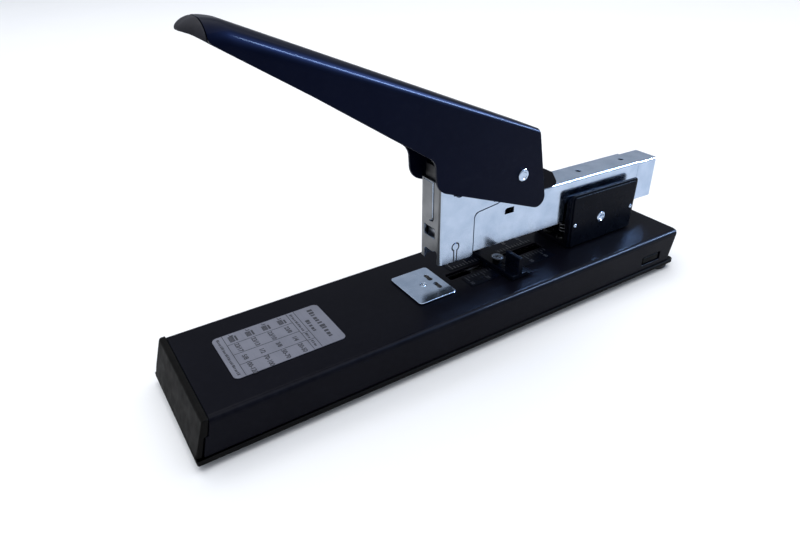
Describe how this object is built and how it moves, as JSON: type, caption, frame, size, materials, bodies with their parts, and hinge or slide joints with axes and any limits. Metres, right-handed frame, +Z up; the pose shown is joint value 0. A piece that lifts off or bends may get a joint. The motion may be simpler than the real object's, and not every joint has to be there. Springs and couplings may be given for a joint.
{
  "type": "heavy duty desk stapler",
  "caption": "Long-base desk stapler with a bright steel magazine on a rear pivot bracket, a lever handle, a turning anvil and a sliding paper guide.",
  "frame": {"origin": "on the table, under the middle of the base", "axes": "+X from the front cap to the rear of the base, +Y to the left of a user who stands at the front cap and looks along the base, +Z up"},
  "size_m": [0.2892, 0.068, 0.1637],
  "materials": {
    "black_paint": "satin",
    "navy_paint": "gloss",
    "black_plastic": "fine grain",
    "grey_plastic": "fine grain",
    "bright_steel": "bright nickel plate",
    "plain_steel": "zinc plate",
    "spring_steel": "drawn wire",
    "label_film": "silver film",
    "rubber": "matt"
  },
  "bodies": {
    "base": {"base_cover": "black_paint", "base_tray": "black_plastic", "front_cap": "black_plastic", "base_spine": "plain_steel", "label_plate": "label_film", "scale_strip_left": "black_plastic", "scale_strip_right": "black_plastic", "pivot_bracket": "black_paint", "bracket_cover_left": "black_plastic", "bracket_cover_right": "black_plastic", "pivot_pin": "bright_steel", "lift_spring": "spring_steel", "bracket_rivet_left_front": "bright_steel", "rubber_foot_left_front": "rubber", "bracket_bolt_left_front": "plain_steel", "bracket_rivet_left_rear": "bright_steel", "rubber_foot_left_rear": "rubber", "bracket_bolt_left_rear": "plain_steel", "bracket_rivet_right_front": "bright_steel", "rubber_foot_right_front": "rubber", "bracket_bolt_right_front": "plain_steel", "bracket_rivet_right_rear": "bright_steel", "rubber_foot_right_rear": "rubber", "bracket_bolt_right_rear": "plain_steel", "tray_screw_1": "plain_steel", "tray_screw_2": "plain_steel", "tray_screw_3": "plain_steel"},
    "anvil": {"anvil_plate": "bright_steel", "anvil_pin": "bright_steel"},
    "paper_guide": {"guide_bar": "black_plastic", "guide_clamp_plate": "plain_steel", "guide_clamp_screw": "plain_steel"},
    "guide_knob": {"guide_lock_knob": "bright_steel"},
    "magazine": {"magazine_sleeve": "bright_steel", "head_housing": "bright_steel", "bottom_rail": "plain_steel", "fulcrum_bracket": "black_paint", "handle_pin": "bright_steel", "driver_spring": "spring_steel"},
    "track": {"staple_track": "plain_steel", "track_end": "bright_steel", "pusher_rod": "plain_steel", "pusher_spring": "spring_steel"},
    "pusher": {"pusher": "plain_steel"},
    "driver": {"driver_blade": "plain_steel", "plunger": "bright_steel"},
    "handle": {"handle_shell": "navy_paint", "press_bar": "plain_steel", "grip_tip": "grey_plastic", "grip_screw": "bright_steel"}
  },
  "joints": [
    {"name": "magazine_tilt", "type": "hinge", "parent": "base", "child": "magazine", "pos_m": [0.096, 0, 0.038], "axis": [0, -1, 0], "range_deg": [0, 6.3], "stiffness_Nm_per_rad": 2, "springref_deg": -28.65, "deforming": ["lift_spring"]},
    {"name": "handle_swing", "type": "hinge", "parent": "magazine", "child": "handle", "pos_m": [0.0371, 0, 0.0763], "axis": [0, -1, 0], "range_deg": [0, 26], "stiffness_Nm_per_rad": 0.6, "springref_deg": -57.3},
    {"name": "driver_slide", "type": "slide", "parent": "magazine", "child": "driver", "axis": [-0.0262, 0, -0.9997], "range_m": [0, 0.0156], "deforming": ["driver_spring"]},
    {"name": "track_slide", "type": "slide", "parent": "magazine", "child": "track", "axis": [0.9997, 0, -0.0262], "range_m": [0, 0.09]},
    {"name": "pusher_slide", "type": "slide", "parent": "track", "child": "pusher", "axis": [-0.9997, 0, 0.0262], "range_m": [0, 0.055]},
    {"name": "anvil_turn", "type": "hinge", "parent": "base", "child": "anvil", "pos_m": [-0.0145, 0, 0.0253], "axis": [0, 0, 1], "range_deg": [0, 180]},
    {"name": "guide_slide", "type": "slide", "parent": "base", "child": "paper_guide", "axis": [1, 0, 0], "range_m": [-0.024, 0.028]},
    {"name": "knob_turn", "type": "hinge", "parent": "paper_guide", "child": "guide_knob", "pos_m": [0.0283, -0.0063, 0.029], "axis": [0, 0, 1], "range_deg": [0, 180]}
  ],
  "couplings": [
    {"joint": "driver_slide", "follows": "handle_swing", "m_per_rad": 0.034157}
  ]
}
